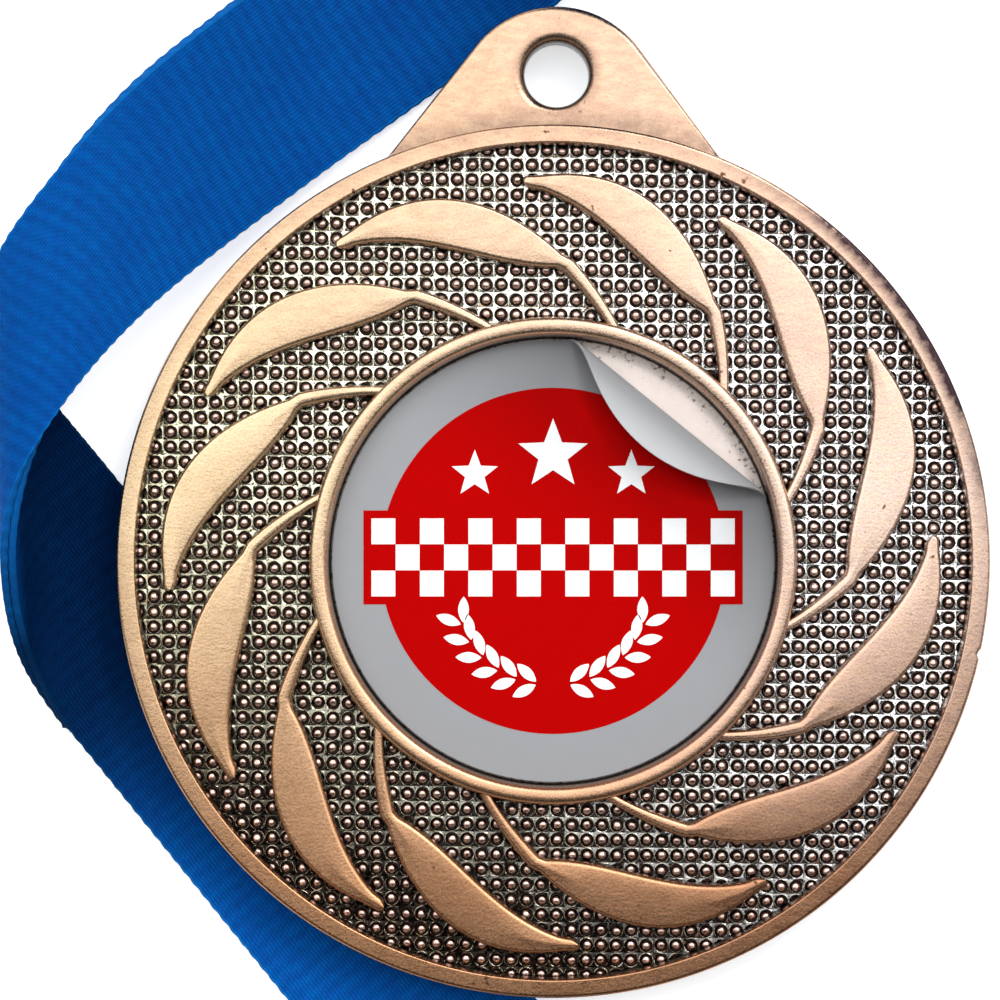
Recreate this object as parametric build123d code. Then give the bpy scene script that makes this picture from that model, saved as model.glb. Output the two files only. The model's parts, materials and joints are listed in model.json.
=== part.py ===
"""Finisher medal lying face up on its own doubled neck ribbon, in millimetres.

The origin is the centre of the medal's flat back. +Z is the medal's face and +Y points to its ear.
The ribbon is one closed band, pressed flat so that its two strands lie on each other. It comes down
from a wound roll beyond the ear, rolls over on the medal's left, passes under the medal and ends in
a sewn eye that holds a wire D-ring.
"""
from build123d import *
from math import cos, pi, radians, sin, sqrt
import os

# ---- medal casting
MEDAL_RADIUS = 25.0
MEDAL_THICKNESS = 3.0
MEDAL_EDGE = 0.3                 # chamfer round the front and back of the rim
RIM_INNER_RADIUS = 23.95
FIELD_HEIGHT = 1.7               # the sunk background between the rim and the inner ring
BLADE_HEIGHT = 2.7
BLADES = 12
FIRST_TIP_ANGLE = 4.5            # degrees from +X, counter-clockwise
RING_OUTER_RADIUS = 13.95
RING_INNER_RADIUS = 13.05
RING_HEIGHT = 2.9
RECESS_FLOOR = 1.5
EAR_BACK = 0.3
EAR_FRONT = 2.5
EAR_APEX = (0.18, 25.9)
EAR_APEX_RADIUS = 5.9
EAR_FOOT = (10.1, 22.4)          # inside the disc, mirrored left and right
EAR_HOLE = (0.2, 27.9)
EAR_HOLE_RADIUS = 1.85

# A blade's edges as curve handles: radius, and degrees clockwise from its tip.
BLADE_OUTER_EDGE = ((21.9, -0.7), (24.9, 20.3), (19.1, 37.3), (13.6, 53.4))
BLADE_INNER_EDGE = ((21.5, 0.2), (20.3, 13.5), (16.5, 23.0), (16.9, 36.9))
BLADE_STEM_EDGE = ((16.9, 36.9), (15.9, 40.8), (14.9, 45.1), (13.6, 49.8))

# ---- logo label, a printed film disc whose upper right edge has curled up
LABEL_RADIUS = 12.7
LABEL_THICKNESS = 0.25
LABEL_GAP = 0.02                 # adhesive film under the label
CURL_DIRECTION = 51.0            # degrees from +X to the middle of the lifted edge
CURL_START = 10.2                # distance from the centre at which the film leaves the floor
CURL_RADIUS = 0.55
CURL_TAIL = 1.0                  # straight end of the film after the bend

# ---- ribbon
RIBBON_WIDTH = 11.2
STRAND = 0.45                    # one thickness of the woven band
PAIR = 2 * STRAND
RIBBON_TO_MEDAL = 0.3
TABLE = -(PAIR + RIBBON_TO_MEDAL)
PAIR_MIDDLE = TABLE + STRAND
DOUBLED_LENGTH = 400.0           # an 800 mm band, folded in two
UPPER_HEADING = 36.0             # degrees, the upper run points to the upper right
LOWER_HEADING = -51.0            # degrees, the lower run points to the lower right
ROLL_FOOT = (7.6, 44.6)          # where the upper run reaches the roll's lowest line
LOWER_START = (-29.6, 1.0)       # a point on the lower run's middle line
LOWER_END = 43.5                 # distance along the lower run to the start of the eye
RIBBON_SECTIONS = 44

# ---- roll of the unused ribbon and its tie
ROLL_CORE_RADIUS = 4.0
ROLL_PITCH = 1.0                 # one turn of the doubled ribbon, a little loose
STRIP_GAP = 2.2                  # the strip stops this far short of the roll's lowest line
TIE_WIDTH = 3.0
TIE_THICKNESS = 0.35
TIE_CORNER = 0.6
TIE_CLEARANCE = 0.15

# ---- sewn eye, seam and D-ring
WIRE_RADIUS = 0.7
EYE_BORE_RADIUS = 0.8
EYE_OFFSET = 3.2                 # from the end of the flat run to the wire's axis
EYE_OVERLAP = 0.6                # of the eye's closed end with the flat run
STITCH_ROWS = (1.2, 3.6)         # distances from the end of the flat run
STITCHES_PER_ROW = 9
STITCH_SIZE = (1.3, 0.28, 0.12)
STITCH_SLANT = 35.0              # degrees, the rows lean opposite ways
RING_CORNER = 1.0
RING_LEG = 0.6
RING_BAR_HALF = 5.9
RING_GAP = 0.25                  # slit where the bent wire's ends meet
RING_DROOP = 3.3                 # degrees, until the bow lies on the table


def heading(degrees):
    """Unit vector in the table plane."""
    return Vector(cos(radians(degrees)), sin(radians(degrees)), 0)


def polar(radius, clockwise, start):
    """Point on the medal's face, at an angle clockwise from a start angle."""
    angle = radians(start - clockwise)
    return (radius * cos(angle), radius * sin(angle))


# ---------------------------------------------------------------- medal

def disc(radius, bottom, top):
    return Pos(0, 0, (bottom + top) / 2) * Cylinder(radius, top - bottom)


def ear():
    """Tab with a round top and straight flanks, with the hole for the ring."""
    apex = Pos(*EAR_APEX) * Circle(EAR_APEX_RADIUS)
    foot = Edge.make_line((-EAR_FOOT[0], EAR_FOOT[1]), EAR_FOOT)
    tab = make_hull(apex.edges() + [foot])
    tab -= Pos(*EAR_HOLE) * Circle(EAR_HOLE_RADIUS)
    return Pos(0, 0, EAR_BACK) * extrude(tab, EAR_FRONT - EAR_BACK)


def blade(tip_angle):
    """One swept blade with its thin stem, which runs into the inner ring."""
    edges = [Edge.make_bezier(*[polar(r, turn, tip_angle) for r, turn in handles])
             for handles in (BLADE_OUTER_EDGE, BLADE_INNER_EDGE, BLADE_STEM_EDGE)]
    outer, inner, stem = edges
    root = Edge.make_line(outer @ 1, stem @ 1)
    tip = Edge.make_line(outer @ 0, inner @ 0)
    outline = Face(Wire([outer, root, stem, inner, tip]))
    return Pos(0, 0, FIELD_HEIGHT) * extrude(outline, BLADE_HEIGHT - FIELD_HEIGHT, dir=(0, 0, 1))


def medal_body():
    """The whole casting: rim, ear, sunk field, inner ring, label recess and blades."""
    plate = disc(MEDAL_RADIUS, 0, MEDAL_THICKNESS)
    plate = chamfer(plate.edges().filter_by(GeomType.CIRCLE), MEDAL_EDGE)
    casting = plate + ear()
    casting -= disc(RIM_INNER_RADIUS, FIELD_HEIGHT, MEDAL_THICKNESS)
    casting += disc(RING_OUTER_RADIUS, FIELD_HEIGHT, RING_HEIGHT)
    for number in range(BLADES):
        casting += blade(FIRST_TIP_ANGLE + number * 360 / BLADES)
    return casting - disc(RING_INNER_RADIUS, RECESS_FLOOR, MEDAL_THICKNESS)


def logo_label():
    """Film disc lying in the recess, with one edge bent up and back over itself."""
    bottom = RECESS_FLOOR + LABEL_GAP
    film = disc(LABEL_RADIUS, bottom, bottom + LABEL_THICKNESS)
    reach = LABEL_RADIUS + 1
    lifted = Pos(CURL_START + reach / 2, 0, 0) * Box(reach, 2 * reach, 4 * MEDAL_THICKNESS)
    film -= Rot(0, 0, CURL_DIRECTION) * lifted
    return film + Rot(0, 0, CURL_DIRECTION) * curl(bottom)


def curl(bottom):
    """The lifted edge: a half turn of the film, then a short straight tail pointing back."""
    middle = CURL_RADIUS + LABEL_THICKNESS / 2
    turn = Circle(CURL_RADIUS + LABEL_THICKNESS) - Circle(CURL_RADIUS)
    turn -= Pos(-LABEL_RADIUS, 0) * Rectangle(2 * LABEL_RADIUS, 2 * LABEL_RADIUS)
    tail = Pos(-CURL_TAIL / 2, middle) * Rectangle(CURL_TAIL, LABEL_THICKNESS)
    profile = Plane.XZ * (turn + tail)
    sheet = extrude(profile, LABEL_RADIUS, both=True)
    sheet = Pos(CURL_START, 0, bottom + LABEL_THICKNESS + CURL_RADIUS) * sheet
    crest = CURL_START + CURL_RADIUS + LABEL_THICKNESS
    folded_back = Pos(2 * crest, 0) * Circle(LABEL_RADIUS)
    outline = Circle(LABEL_RADIUS) & folded_back
    return sheet & extrude(outline, 3 * MEDAL_THICKNESS)


# ---------------------------------------------------------------- ribbon

def run_line(origin, degrees, side):
    """One edge of a flat run, as a function of the distance along it."""
    along = heading(degrees)
    start = Vector(*origin) + heading(degrees + 90) * (side * RIBBON_WIDTH / 2)
    return lambda distance: start + along * distance


def ribbon_stations():
    """Control points of the ribbon's two edges, from the roll to the eye: outer, inner, height."""
    upper_outer = run_line(ROLL_FOOT, UPPER_HEADING, 1)
    upper_inner = run_line(ROLL_FOOT, UPPER_HEADING, -1)
    lower_inner = run_line(LOWER_START, LOWER_HEADING, 1)
    lower_outer = run_line(LOWER_START, LOWER_HEADING, -1)
    flat = PAIR_MIDDLE
    upper = [(upper_outer(-a), upper_inner(-b), flat) for a, b in ((0, 0), (6, 7.5), (12, 16), (17.5, 25))]
    fold = [
        (upper_outer(-22.5), upper_inner(-33), 0.4),
        (Vector(-19.0, 31.2), Vector(-20.4, 17.0), 3.6),
        (Vector(-23.4, 27.4), Vector(-24.6, 13.0), 6.8),
        (Vector(-27.5, 22.4), Vector(-28.0, 8.4), 8.9),
        (Vector(-31.0, 17.4), Vector(-30.6, 3.2), 8.6),
        (Vector(-32.4, 13.6), Vector(-31.1, -2.4), 3.8),
        (Vector(-31.2, 11.6), Vector(-30.2, -6.8), 0.2),
        (Vector(-28.2, 8.4), Vector(-27.8, -10.4), flat),
    ]
    spacing = ((7, 8.5), (13, 13), (20, 18.5), (28, 25), (33, 32), (38.5, 38), (LOWER_END, LOWER_END))
    lower = [(lower_inner(a), lower_outer(b), flat) for a, b in spacing]
    return upper + fold + lower


def bspline(points, position):
    """Point on a uniform cubic B-spline that starts and ends at its first and last points."""
    padded = [points[0] * 2 - points[1]] + points + [points[-1] * 2 - points[-2]]
    spans = len(points) - 1
    span = min(int(position * spans), spans - 1)
    t = position * spans - span
    weights = ((1 - t) ** 3, 3 * t ** 3 - 6 * t ** 2 + 4, -3 * t ** 3 + 3 * t ** 2 + 3 * t + 1, t ** 3)
    point = Vector(0, 0, 0)
    for weight, control in zip(weights, padded[span:span + 4]):
        point += control * (weight / 6)
    return point


def ribbon_edges():
    """The two edges of the doubled ribbon's middle surface, as functions of position 0 to 1."""
    stations = ribbon_stations()
    left = [Vector(a.X, a.Y, z) for a, b, z in stations]
    right = [Vector(b.X, b.Y, z) for a, b, z in stations]
    return (lambda s: bspline(left, s)), (lambda s: bspline(right, s))


def ribbon_section(left, right, position):
    """Rectangle across the doubled ribbon, square to its surface."""
    step = 0.002
    before, after = max(position - step, 0), min(position + step, 1)
    forward = (left(after) + right(after)) - (left(before) + right(before))
    across = left(position) - right(position)
    normal = across.cross(forward).normalized() * (PAIR / 2)
    corners = [left(position) + normal, right(position) + normal,
               right(position) - normal, left(position) - normal]
    return Wire.make_polygon(corners, close=True)


def middle_length(left, right):
    """Length of the ribbon's middle line from the roll to the eye."""
    steps = 400
    points = [(left(i / steps) + right(i / steps)) / 2 for i in range(steps + 1)]
    return sum((b - a).length for a, b in zip(points, points[1:]))


def roll_radius(strip_length):
    """Outer radius of the roll that takes up the rest of the ribbon."""
    wound = DOUBLED_LENGTH - strip_length - EYE_OFFSET
    return sqrt(ROLL_CORE_RADIUS ** 2 + wound * ROLL_PITCH / pi)


def roll_placement(radius):
    """The roll's frame: its local Z lies across the ribbon, its local Y points up."""
    return Plane(origin=(*ROLL_FOOT, TABLE + radius), x_dir=heading(UPPER_HEADING),
                 z_dir=heading(UPPER_HEADING - 90))


def ribbon_roll(radius):
    tube = Cylinder(radius, RIBBON_WIDTH) - Cylinder(ROLL_CORE_RADIUS, RIBBON_WIDTH)
    return roll_placement(radius) * tube


def eye_frame():
    """Frame at the wire's axis: local X along the lower run, local Y across it."""
    distance = LOWER_END + EYE_OFFSET
    origin = Vector(*LOWER_START) + heading(LOWER_HEADING) * distance
    return Plane(origin=(origin.X, origin.Y, TABLE + STRAND + EYE_BORE_RADIUS),
                 x_dir=heading(LOWER_HEADING), z_dir=(0, 0, 1))


def sewn_eye():
    """The band's turn round the wire, closing to the two flat strands."""
    frame = eye_frame()
    drop = PAIR_MIDDLE - frame.origin.Z
    bend = Circle(EYE_BORE_RADIUS + STRAND)
    tail = Pos(-EYE_OFFSET - EYE_OVERLAP / 2, drop) * Rectangle(EYE_OVERLAP, PAIR)
    profile = make_hull(bend.edges() + tail.edges()) - Circle(EYE_BORE_RADIUS)
    return frame * extrude(Plane.XZ * profile, RIBBON_WIDTH / 2, both=True)


def ribbon_strip(radius):
    """The unrolled stretch: upper run, roll-over, lower run and sewn eye."""
    left, right = ribbon_edges()
    sections = [ribbon_section(left, right, i / RIBBON_SECTIONS) for i in range(RIBBON_SECTIONS + 1)]
    band = Solid.make_loft(sections, ruled=True)
    foot = Plane(origin=(*ROLL_FOOT, TABLE), x_dir=heading(UPPER_HEADING), z_dir=(0, 0, 1))
    under_roll = Box(2 * STRIP_GAP, 2 * RIBBON_WIDTH, 4 * PAIR)
    band -= foot * under_roll
    band -= roll_placement(radius) * Cylinder(radius, 2 * RIBBON_WIDTH)
    return band + sewn_eye()


def roll_tie(radius):
    """Flat tie through the roll's core and round its turns, at the top of the roll."""
    inside = sqrt(ROLL_CORE_RADIUS ** 2 - (TIE_WIDTH / 2) ** 2) - TIE_CLEARANCE
    outside = radius + TIE_CLEARANCE
    half_width = RIBBON_WIDTH / 2 + TIE_CLEARANCE
    width, depth = 2 * half_width, outside - inside
    outer = RectangleRounded(width + 2 * TIE_THICKNESS, depth + 2 * TIE_THICKNESS, TIE_CORNER)
    inner = RectangleRounded(width, depth, TIE_CORNER - TIE_THICKNESS)
    band = extrude(outer - inner, TIE_WIDTH / 2, both=True)
    axle = roll_placement(radius)
    place = Plane(origin=axle.origin + Vector(0, 0, (inside + outside) / 2),
                  x_dir=heading(UPPER_HEADING - 90), z_dir=heading(UPPER_HEADING))
    return place * band


def seam_stitches():
    """Rows of slanted thread stitches that lock the two strands behind the eye."""
    frame = eye_frame()
    top = PAIR_MIDDLE + PAIR / 2 - frame.origin.Z
    length, width, height = STITCH_SIZE
    pitch = RIBBON_WIDTH / (STITCHES_PER_ROW + 1)
    threads = []
    for row, back in enumerate(STITCH_ROWS):
        slant = STITCH_SLANT if row % 2 else -STITCH_SLANT
        for number in range(STITCHES_PER_ROW):
            across = (number + 1) * pitch - RIBBON_WIDTH / 2
            place = Pos(-EYE_OFFSET - back, across, top + height / 2) * Rot(0, 0, slant)
            threads.append(frame * (place * Box(length, width, height)))
    return Compound(children=threads)


def d_ring():
    """Wire D: a straight bar in the eye, two short legs and a round bow."""
    leg = RING_BAR_HALF + RING_CORNER
    top = RING_CORNER + RING_LEG
    corner = RING_CORNER * (1 - sqrt(0.5))
    edges = [Edge.make_line((0, -RING_BAR_HALF), (0, RING_BAR_HALF)),
             Edge.make_line((RING_CORNER, leg), (top, leg)),
             Edge.make_three_point_arc((top, leg), (top + leg, 0), (top, -leg)),
             Edge.make_line((top, -leg), (RING_CORNER, -leg))]
    for side in (-1, 1):
        edges.append(Edge.make_three_point_arc((0, side * RING_BAR_HALF),
                                               (corner, side * (leg - corner)),
                                               (RING_CORNER, side * leg)))
    path = Wire(edges)
    wire = sweep(Plane.XZ * Circle(WIRE_RADIUS), path=path)
    wire -= Pos(top + leg, 0, 0) * Box(4 * WIRE_RADIUS, RING_GAP, 4 * WIRE_RADIUS)
    return eye_frame() * (Rot(0, RING_DROOP, 0) * wire)


def main():
    os.makedirs("parts", exist_ok=True)
    strip_length = middle_length(*ribbon_edges())
    radius = roll_radius(strip_length)
    print(f"strip {strip_length:.1f} mm, roll radius {radius:.2f} mm, eye at {eye_frame().origin}")
    nodes = {
        "medal_body": medal_body(),
        "logo_label": logo_label(),
        "ribbon_strip": ribbon_strip(radius),
        "ribbon_roll": ribbon_roll(radius),
        "roll_tie": roll_tie(radius),
        "seam_stitches": seam_stitches(),
        "d_ring": d_ring(),
    }
    for name, shape in nodes.items():
        export_step(shape, f"parts/{name}.step")


main()
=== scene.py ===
"""Finisher medal on its doubled neck ribbon: the looks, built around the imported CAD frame.

Lengths in this script are millimetres until a mesh is made, which is when they become metres.
"""
import bpy
import json
import numpy as np
from math import cos, pi, radians, sin, sqrt
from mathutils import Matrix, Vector


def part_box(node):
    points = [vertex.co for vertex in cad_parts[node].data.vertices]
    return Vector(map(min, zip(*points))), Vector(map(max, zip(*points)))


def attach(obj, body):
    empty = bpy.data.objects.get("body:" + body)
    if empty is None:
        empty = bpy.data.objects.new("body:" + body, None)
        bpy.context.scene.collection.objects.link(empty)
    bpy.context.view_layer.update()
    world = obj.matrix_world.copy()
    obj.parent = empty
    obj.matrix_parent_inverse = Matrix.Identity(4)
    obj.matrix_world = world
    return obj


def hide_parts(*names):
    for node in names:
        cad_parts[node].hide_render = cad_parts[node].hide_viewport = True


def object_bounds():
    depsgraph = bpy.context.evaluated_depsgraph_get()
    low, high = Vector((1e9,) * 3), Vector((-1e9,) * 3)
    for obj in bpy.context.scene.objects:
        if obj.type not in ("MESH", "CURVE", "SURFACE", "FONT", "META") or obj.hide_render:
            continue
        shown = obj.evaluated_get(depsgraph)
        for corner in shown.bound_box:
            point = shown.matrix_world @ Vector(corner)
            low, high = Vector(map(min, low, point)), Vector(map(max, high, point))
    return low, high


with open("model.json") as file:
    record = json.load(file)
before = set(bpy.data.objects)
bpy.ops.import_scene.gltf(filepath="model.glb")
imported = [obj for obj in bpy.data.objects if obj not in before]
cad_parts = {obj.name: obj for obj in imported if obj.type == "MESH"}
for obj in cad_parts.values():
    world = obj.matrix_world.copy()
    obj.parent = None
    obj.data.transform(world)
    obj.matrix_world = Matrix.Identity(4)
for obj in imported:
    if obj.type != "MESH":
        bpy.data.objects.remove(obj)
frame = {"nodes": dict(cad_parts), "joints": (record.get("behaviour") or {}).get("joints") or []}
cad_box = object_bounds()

MM = 0.001
TAU = 2 * pi


# ======== sizes taken from the frame

def box_mm(node):
    low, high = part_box(node)
    return np.array(low) / MM, np.array(high) / MM


def joint_named(name):
    return next(joint for joint in frame["joints"] if joint["name"] == name)


LABEL_LOW, LABEL_HIGH = box_mm("logo_label")
ROLL_LOW, ROLL_HIGH = box_mm("ribbon_roll")
MEDAL_RADIUS, _, MEDAL_THICKNESS = box_mm("medal_body")[1]
STITCH_LEVEL = box_mm("seam_stitches")[0][2]
EYE = np.array(joint_named("ring_swing")["pos_m"]) / MM
TABLE = cad_box[0].z / MM
ROLL_RADIUS = (ROLL_HIGH[2] - ROLL_LOW[2]) / 2
ROLL_AXLE = (ROLL_LOW + ROLL_HIGH) / 2

# ---- casting, as in the CAD part
RIM_INNER_RADIUS = 23.95
FIELD_HEIGHT = 1.7
MOAT_HEIGHT = 1.42               # the sunk gap along walls, between them and the bead field
CASTING_SEGMENTS = 720
NICK_ANGLE = radians(-12.3)      # a small knock on the rim
NICK_SPREAD = 0.006
NICK_DEPTH = 0.22
RING_OUTER_RADIUS = 13.95
RING_INNER_RADIUS = 13.05
RING_HEIGHT = 2.9
RECESS_FLOOR = 1.5
EAR_BACK = 0.3
EAR_FRONT = 2.5
EAR_APEX = (0.18, 25.9)
EAR_APEX_RADIUS = 5.9
EAR_FOOT = (10.1, 22.4)
EAR_HOLE = (0.2, 27.9)
EAR_HOLE_RADIUS = 1.85
EAR_UNDER_RIM = 0.06             # the ear's face runs this far into the rim's wall
EAR_SEGMENTS = 480

# ---- blades. The handles of an edge's curve are a radius and the degrees clockwise from the tip's angle.
BLADE_HEIGHT = 2.72
TIP_ANGLES = [4.1 + 30 * number for number in range(12)]
BLADE_SHIFT = (-0.12, -0.13)     # the blade pattern is struck a little off the rim's centre
BLADE_OUTER_EDGE = ((22.05, -0.7), (25.05, 20.1), (19.1, 37.0), (13.5, 52.6))
BLADE_INNER_EDGE = ((21.7, 0.2), (20.8, 13.4), (16.95, 23.0), (17.0, 36.8))
BLADE_STEM_EDGE = ((17.0, 36.8), (15.9, 40.8), (14.8, 45.0), (13.6, 49.0))
TIP_HALF_WIDTH = 0.4
TIP_TRIM = 0.03                  # share of each edge's curve that the blunt tip cuts off

# ---- bead field
BEAD_PITCH = 0.861
BEAD_TURN = radians(-0.44)       # the grid sits a little askew
BEAD_OFFSET = (0.343, 0.345)     # from the medal's centre to one bead, along the grid
BEAD_JITTER = 0.02
BEAD_RADIUS = 0.255
CORNER_DROP = 0.02
RIDGE_RADIUS = 0.40              # crest of the low ridge round each bead's groove
BEAD_SEGMENTS = 16
FIELD_GAP = 0.1                  # the dark gap that the field leaves along the rim

# ---- label
LABEL_RADIUS = LABEL_HIGH[0]
FILM_BOTTOM = LABEL_LOW[2]
FILM_THICKNESS = 0.16
CURL_DIRECTION = radians(51.0)
CURL_START = 10.15               # distance from the centre at which the film leaves the floor
CURL_RADIUS = 0.45
FLAP_LEAN = radians(85)          # turn of the flap past upright, reached over about FLAP_EASE
FLAP_EASE = 1.1
FLAP_STRETCH = 1.45              # the thin film has drawn out a little where it was pulled up
INK = 0.008
PRINT_RADIUS = 9.95
BAND_HALF_LENGTH = 10.9
BAND_LOW, BAND_HIGH = -2.5, 2.9
BAND_BORDER = 0.45
CHECK_ROWS = 3
CHECK_COLUMNS = 15
CHECK_GAP = 0.01                 # the squares stop just short of each other's corners
STAR_WAIST = 0.42                # a star's inner radius, as a share of its outer one

# ---- ribbon
RIBBON_WIDTH = 11.2
STRAND = 0.45
PAIR_MIDDLE = TABLE + STRAND
UPPER_HEADING = radians(36.0)
LOWER_HEADING = radians(-51.0)
ROLL_FOOT = ROLL_AXLE[:2]
LOWER_START = (-29.6, 1.0)
LOWER_END = 43.5
EYE_OFFSET = 3.2
EYE_BEND_RADIUS = 0.8 + STRAND / 2
ROLL_CORE_RADIUS = 4.0
ROLL_PITCH = 0.866
RIB_PITCH = 0.9                  # faint ribs across the band
THREAD_PITCH = 0.2               # threads along the band, each a row of floats
FLOAT_LENGTH = 0.36
UPPER_SHADE = 0.66               # painted shade by the roll and under the fold, and painted light on the lower run
FOLD_SHADE = 0.2
LOWER_SHADE = 1.2
UPPER_SHADE_END = 42.0           # distance from the roll at which the painted shade ends
SHADE_START = 8.0                # distances along the lower run
SHADE_END = 24.0

# ---- stitches
STITCH_ROWS = ((1.2, radians(-35)), (3.6, radians(35)))  # distance behind the eye, slant
STITCHES_IN_ROW = 9
STITCH_REACH = 0.62              # half its length
STITCH_RADIUS = 0.14
STITCH_FLATNESS = 0.6
STITCH_RISE = 0.13
STITCH_SINK = 0.05
STITCH_SECTIONS = 13
STITCH_SIDES = 10


# ======== mesh helpers

def add_object(name, data):
    made = bpy.data.objects.new(name, data)
    bpy.context.scene.collection.objects.link(made)
    return made


def make_piece(name, points, faces, body, slot, *materials, smooth=True, face_materials=None):
    """Mesh object from millimetre points, riding on a CAD body. The slot argument is not used."""
    mesh = bpy.data.meshes.new(name)
    mesh.from_pydata((np.asarray(points, dtype=float) * MM).tolist(), [], faces)
    mesh.validate()
    mesh.shade_smooth() if smooth else mesh.shade_flat()
    for material in materials:
        mesh.materials.append(material)
    if face_materials is not None:
        mesh.polygons.foreach_set("material_index", np.asarray(face_materials, dtype=np.int32))
    mesh.update()
    piece = add_object(name, mesh)
    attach(piece, body)
    return piece


def grid_faces(rows, columns, wrap_rows=False, wrap_columns=False, first=0, flip=False):
    """Quads of a grid of rows x columns points, numbered row by row."""
    faces = []
    for row in range(rows if wrap_rows else rows - 1):
        below = (row + 1) % rows
        for column in range(columns if wrap_columns else columns - 1):
            right = (column + 1) % columns
            quad = (first + row * columns + column, first + row * columns + right,
                    first + below * columns + right, first + below * columns + column)
            faces.append(quad[::-1] if flip else quad)
    return faces


def capped_tube(rows, columns, first=0):
    """Closed tube of rows of points, each row a section all the way round."""
    last = first + (rows - 1) * columns
    caps = [tuple(range(first + columns - 1, first - 1, -1)), tuple(range(last, last + columns))]
    return grid_faces(rows, columns, wrap_columns=True, first=first) + caps


def circle_points(reach, angles, height, centre=(0.0, 0.0)):
    """Points round a centre, at one reach or each at its own."""
    x, y = centre[0] + reach * np.cos(angles), centre[1] + reach * np.sin(angles)
    return np.column_stack([x, y, np.full(len(angles), height)])


def round_angles(count):
    return np.arange(count) * TAU / count


def unit(vectors):
    return vectors / np.maximum(np.linalg.norm(vectors, axis=-1, keepdims=True), 1e-12)


def polar(radius, clockwise, start_degrees):
    angle = radians(start_degrees - clockwise)
    return np.array((radius * cos(angle), radius * sin(angle)))


def bezier(handles, t):
    t = np.asarray(t)[:, None]
    a, b, c, d = handles
    return (1 - t) ** 3 * a + 3 * t * (1 - t) ** 2 * b + 3 * t ** 2 * (1 - t) * c + t ** 3 * d


def heading(angle):
    return np.array((cos(angle), sin(angle), 0.0))


# ======== material helpers

class Shader:
    """A node material, or the world, with short calls for the nodes that the looks below use."""

    def __init__(self, name, output="Principled BSDF", owners=bpy.data.materials, **settings):
        self.material = owners.new(name)
        self.material.use_nodes = True
        self.tree = self.material.node_tree
        self.output = self.tree.nodes[output]
        for socket, value in settings.items():
            self.output.inputs[socket.replace("_", " ")].default_value = value

    def node(self, kind, **inputs):
        made = self.tree.nodes.new(kind)
        for socket, value in inputs.items():
            self.feed(made.inputs[socket.replace("_", " ")], value)
        return made

    def feed(self, socket, value):
        if isinstance(value, bpy.types.NodeSocket):
            self.tree.links.new(value, socket)
        else:
            socket.default_value = value

    def set(self, socket, value):
        self.feed(self.output.inputs[socket], value)

    def paint(self, colour):
        self.set("Base Color", colour)

    def place(self, kind="Object"):
        """Object coordinates are metres in the part's frame, in which the pieces are made."""
        return self.node("ShaderNodeTexCoord").outputs[kind]

    def attribute(self, name):
        found = self.node("ShaderNodeAttribute")
        found.attribute_name = name
        return found.outputs["Vector"]

    def axes(self, vector):
        return self.node("ShaderNodeSeparateXYZ", Vector=vector).outputs

    def math(self, operation, first, second=0.0, third=0.0):
        made = self.tree.nodes.new("ShaderNodeMath")
        made.operation = operation
        for socket, value in zip(made.inputs, (first, second, third)):
            self.feed(socket, value)
        return made.outputs[0]

    def times(self, first, second):
        return self.math("MULTIPLY", first, second)

    def distance(self, x, y):
        return self.math("SQRT", self.math("MULTIPLY_ADD", x, x, self.times(y, y)))

    def along(self, angle, x, y):
        """Distance along a heading in the XY plane."""
        return self.math("MULTIPLY_ADD", x, cos(angle), self.times(y, sin(angle)))

    def between(self, value, low, high, to_low=0.0, to_high=1.0):
        made = self.tree.nodes.new("ShaderNodeMapRange")
        for socket, entry in zip(made.inputs, (value, low, high, to_low, to_high)):
            self.feed(socket, entry)
        return made.outputs[0]

    def noise(self, scale, detail=3.0, roughness=0.5, vector=None):
        made = self.node("ShaderNodeTexNoise", Scale=scale, Detail=detail, Roughness=roughness)
        self.feed(made.inputs["Vector"], vector or self.place())
        return made.outputs["Fac"]

    def stretched(self, scale, factors, detail=3.0, angle=0.0):
        """Noise drawn out along one axis, for brushing and scratches."""
        turned = self.node("ShaderNodeMapping", Vector=self.place(), Scale=factors, Rotation=(0, 0, angle))
        return self.noise(scale, detail, 0.6, turned.outputs[0])

    def mix(self, factor, first, second):
        made = self.tree.nodes.new("ShaderNodeMix")
        made.data_type = "RGBA"
        self.feed(made.inputs[0], factor)
        self.feed(made.inputs[6], first)
        self.feed(made.inputs[7], second)
        return made.outputs[2]

    def scaled(self, colour, factor):
        made = self.node("ShaderNodeVectorMath", Vector=colour)
        made.operation = "SCALE"
        self.feed(made.inputs["Scale"], factor)
        return made.outputs[0]

    def bump(self, height, strength, distance, under=None):
        made = self.node("ShaderNodeBump", Height=height, Strength=strength, Distance=distance)
        if under is not None:
            self.feed(made.inputs["Normal"], under)
        return made.outputs[0]

    def emboss(self, height, strength, distance, under=None):
        self.set("Normal", self.bump(height, strength, distance, under))

    def roughen(self, value, smooth, rough):
        """Roughness that follows a noise."""
        self.set("Roughness", self.between(value, 0.3, 0.7, smooth, rough))


def rgb(red, green, blue):
    """Linear colour from screen values 0 to 255."""
    def linear(value):
        value /= 255
        return value / 12.92 if value <= 0.04045 else ((value + 0.055) / 1.055) ** 2.4
    return (linear(red), linear(green), linear(blue), 1.0)


# ======== materials

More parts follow.
